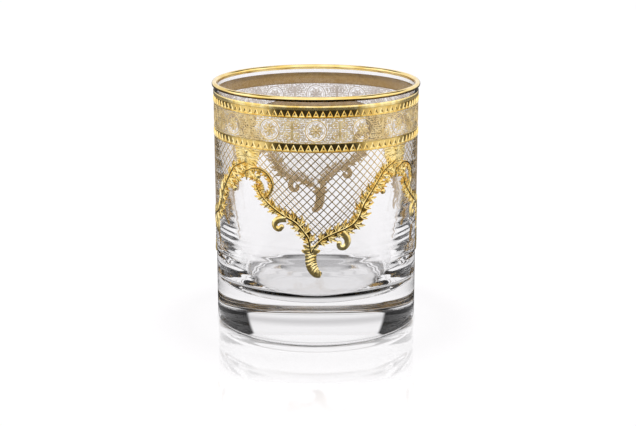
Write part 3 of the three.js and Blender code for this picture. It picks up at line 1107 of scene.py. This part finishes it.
def plug(tree, socket, value):
    """Sets a socket to a number, or links it to another node's result."""
    if isinstance(value, (int, float)):
        socket.default_value = value
    else:
        tree.links.new(value, socket)


def product(tree, first, second):
    return math_node(tree, "MULTIPLY", first, second)


def rest_of_one(tree, value):
    return math_node(tree, "SUBTRACT", 1.0, value)


def brightest(tree, *values):
    result = values[0]
    for value in values[1:]:
        result = math_node(tree, "MAXIMUM", result, value)
    return result


def climb(tree, value, low, high):
    """0 below low and 1 above high, in degrees."""
    node = tree.nodes.new("ShaderNodeMapRange")
    node.interpolation_type = "SMOOTHSTEP"
    tree.links.new(value, node.inputs["Value"])
    node.inputs["From Min"].default_value = math.radians(low)
    node.inputs["From Max"].default_value = math.radians(high)
    return node.outputs["Result"]


def between(tree, value, low, high, feather):
    """1 from low to high and 0 outside, with soft edges, in degrees."""
    up = climb(tree, value, low - feather, low + feather)
    down = climb(tree, value, high - feather, high + feather)
    return math_node(tree, "SUBTRACT", up, down)


def mix_value(tree, factor, first, second):
    node = tree.nodes.new("ShaderNodeMix")
    node.data_type = "FLOAT"
    tree.links.new(factor, node.inputs[0])
    plug(tree, node.inputs[2], first)
    plug(tree, node.inputs[3], second)
    return node.outputs[0]


def turn_from_back(tree, place):
    """The turn about the glass of a place or a direction, from straight behind it to straight in front."""
    axes = tree.nodes.new("ShaderNodeSeparateXYZ")
    tree.links.new(place, axes.inputs[0])
    return math_node(tree, "ABSOLUTE", math_node(tree, "ARCTAN2", axes.outputs["X"], axes.outputs["Y"]))


def height_over_horizon(tree, direction):
    axes = tree.nodes.new("ShaderNodeSeparateXYZ")
    tree.links.new(direction, axes.inputs[0])
    return math_node(tree, "ARCSINE", axes.outputs["Z"])


def seen_through_glass(tree, turn, height, backdrop):
    """A pale low sky and a hazy white sweep behind, and a dim room in front."""
    low_sky = rest_of_one(tree, climb(tree, height, *LOW_SKY_EDGE))
    haze = product(tree, between(tree, height, *HAZE_HEIGHTS, feather=3), HAZE_LEVEL)
    sweep = product(tree, backdrop, math_node(tree, "SUBTRACT", BACKDROP_LEVEL, haze))
    overhead = product(tree, climb(tree, height, *OVERHEAD_EDGE), OVERHEAD_LEVEL)
    room = product(tree, climb(tree, turn, *ROOM_TURN_EDGE), climb(tree, height, *ROOM_HEIGHT_EDGE))
    return brightest(tree, low_sky, sweep, overhead, product(tree, room, ROOM_LEVEL), DARK_LEVEL)


def mirrored_in_gold(tree, turn, height, backdrop):
    """Softboxes at the sides, in front and overhead, the white sweep behind and a pale horizon."""
    side_turns = between(tree, turn, *SIDE_BOX_TURNS, feather=4)
    side_boxes = product(tree, side_turns, between(tree, height, *SIDE_BOX_HEIGHTS, feather=6))
    front_turns = climb(tree, turn, *FRONT_BOX_TURN_EDGE)
    front_box = product(tree, front_turns, between(tree, height, *FRONT_BOX_HEIGHTS, feather=5))
    overhead = climb(tree, height, *OVERHEAD_EDGE)
    softboxes = product(tree, brightest(tree, side_boxes, front_box, overhead), SOFTBOX_LEVEL)
    low = rest_of_one(tree, climb(tree, height, *HORIZON_HEIGHT_EDGE))
    horizon = product(tree, low, rest_of_one(tree, climb(tree, turn, *HORIZON_TURN_EDGE)))
    return brightest(tree, softboxes, backdrop, horizon, DARK_LEVEL)


def make_world():
    """A studio that is white to the camera and to matt surfaces, and has more to show in glass and gold."""
    world = bpy.data.worlds.new("studio")
    bpy.context.scene.world = world
    world.use_nodes = True
    tree = world.node_tree
    background = tree.nodes["Background"]
    background.inputs["Color"].default_value = WHITE
    direction = tree.nodes.new("ShaderNodeTexCoord").outputs["Generated"]
    turn = turn_from_back(tree, direction)
    height = height_over_horizon(tree, direction)
    behind = rest_of_one(tree, climb(tree, turn, *BACKDROP_TURN_EDGE))
    backdrop = product(tree, behind, between(tree, height, *BACKDROP_HEIGHTS, feather=4))
    path = tree.nodes.new("ShaderNodeLightPath")
    after_matt = math_node(tree, "GREATER_THAN", path.outputs["Diffuse Depth"], 0.5)
    through = brightest(tree, seen_through_glass(tree, turn, height, backdrop), after_matt)
    mirrored = mirrored_in_gold(tree, turn, height, backdrop)
    strength = mix_value(tree, path.outputs["Is Glossy Ray"], 1.0, mirrored)
    strength = mix_value(tree, path.outputs["Is Transmission Ray"], strength, through)
    strength = mix_value(tree, path.outputs["Is Camera Ray"], strength, 1.0)
    tree.links.new(strength, background.inputs["Strength"])


def mirrored_floor(tree, turn, distance):
    """How brightly reflections show the floor."""
    sides = product(tree, between(tree, turn, *FLOOR_SIDE_TURNS, feather=11), FLOOR_SIDE_GLOW)
    not_behind = climb(tree, turn, *FLOOR_BEHIND_EDGE)
    ends = spread(tree, not_behind, 0.0, 1.0, FLOOR_BEHIND_GLOW, FLOOR_FRONT_GLOW)
    flanks = math_node(tree, "ADD", sides, ends)
    return product(tree, flanks, spread(tree, distance, *FLOOR_DIM_FADE, FLOOR_DIM_SHARE, 1.0))


def floor_material():
    """A white acrylic sheet that glows to white by itself. Its gloss shows near the glass only."""
    material, tree, shader = new_material("floor_white")
    shader.inputs["Emission Color"].default_value = WHITE
    shader.inputs["Roughness"].default_value = 0.05
    shader.inputs["IOR"].default_value = 2.8
    path = tree.nodes.new("ShaderNodeLightPath")
    in_mirror = path.outputs["Is Glossy Ray"]
    place = tree.nodes.new("ShaderNodeTexCoord").outputs["Object"]
    length = tree.nodes.new("ShaderNodeVectorMath")
    length.operation = "LENGTH"
    tree.links.new(place, length.inputs[0])
    distance = length.outputs["Value"]
    tree.links.new(spread(tree, in_mirror, 0.0, 1.0, FLOOR_COLOUR, 0.0), shader.inputs["Base Color"])
    nearness = spread(tree, distance, *GLOSS_FADE, 1.0, 0.0)
    gloss = product(tree, math_node(tree, "POWER", nearness, GLOSS_FALL), path.outputs["Is Camera Ray"])
    tree.links.new(gloss, shader.inputs["Specular IOR Level"])
    glow = spread(tree, nearness, 0.0, 1.0, FAR_GLOW, NEAR_GLOW)
    glow = mix_value(tree, in_mirror, glow, mirrored_floor(tree, turn_from_back(tree, place), distance))
    glow = mix_value(tree, path.outputs["Is Transmission Ray"], glow, 1.0)
    # The painted contact shadow: the glow is dimmed inside the foot's ring, dark below it and full outside
    inside = spread(tree, distance, *PUNT_FADE, PUNT_GLOW, 0.0)
    outside = spread(tree, distance, *FOOT_FADE, 0.0, 1.0)
    painted_contact_shadow = math_node(tree, "ADD", inside, outside)
    tree.links.new(product(tree, glow, painted_contact_shadow), shader.inputs["Emission Strength"])
    return material


def make_floor():
    sides = ((-1, -1), (1, -1), (1, 1), (-1, 1))
    corners = [(x * FLOOR_HALF, y * FLOOR_HALF, FLOOR_LEVEL) for x, y in sides]
    mesh = bpy.data.meshes.new("floor")
    mesh.from_pydata(corners, [], [(0, 1, 2, 3)])
    mesh.materials.append(floor_material())
    piece = bpy.data.objects.new("floor", mesh)
    bpy.context.scene.collection.objects.link(piece)


def make_camera():
    data = bpy.data.cameras.new("camera")
    data.sensor_width = SENSOR_WIDTH
    data.lens = FOCAL_PIXELS * SENSOR_WIDTH / IMAGE_WIDTH
    camera = bpy.data.objects.new("camera", data)
    camera.location = (0.0, -CAMERA_DISTANCE, CAMERA_HEIGHT)
    camera.rotation_euler = (math.pi / 2 - CAMERA_PITCH, 0.0, CAMERA_YAW)
    bpy.context.scene.collection.objects.link(camera)
    bpy.context.scene.camera = camera


def set_light_paths():
    """Thick glass needs many inner bounces, and polished gold sharp reflections."""
    cycles = bpy.context.scene.cycles
    cycles.max_bounces = 32
    cycles.blur_glossy = 0.0
    cycles.glossy_bounces = 20
    cycles.transmission_bounces = 28


make_camera()
make_world()
make_floor()
set_light_paths()
bpy.context.scene.view_settings.view_transform = "Standard"
make_glass()
make_rim()
make_border("upper_border", UPPER_BORDER, UPPER_TRIANGLES, BROAD_LINE)
make_border("lower_border", LOWER_BORDER, LOWER_TRIANGLES, NARROW_LINE)
make_frieze()
for panel in range(PANEL_COUNT):
    make_lattice(panel)
    make_left_border(panel)
    make_right_border(panel)
    make_tip(panel)
    make_peak(panel)
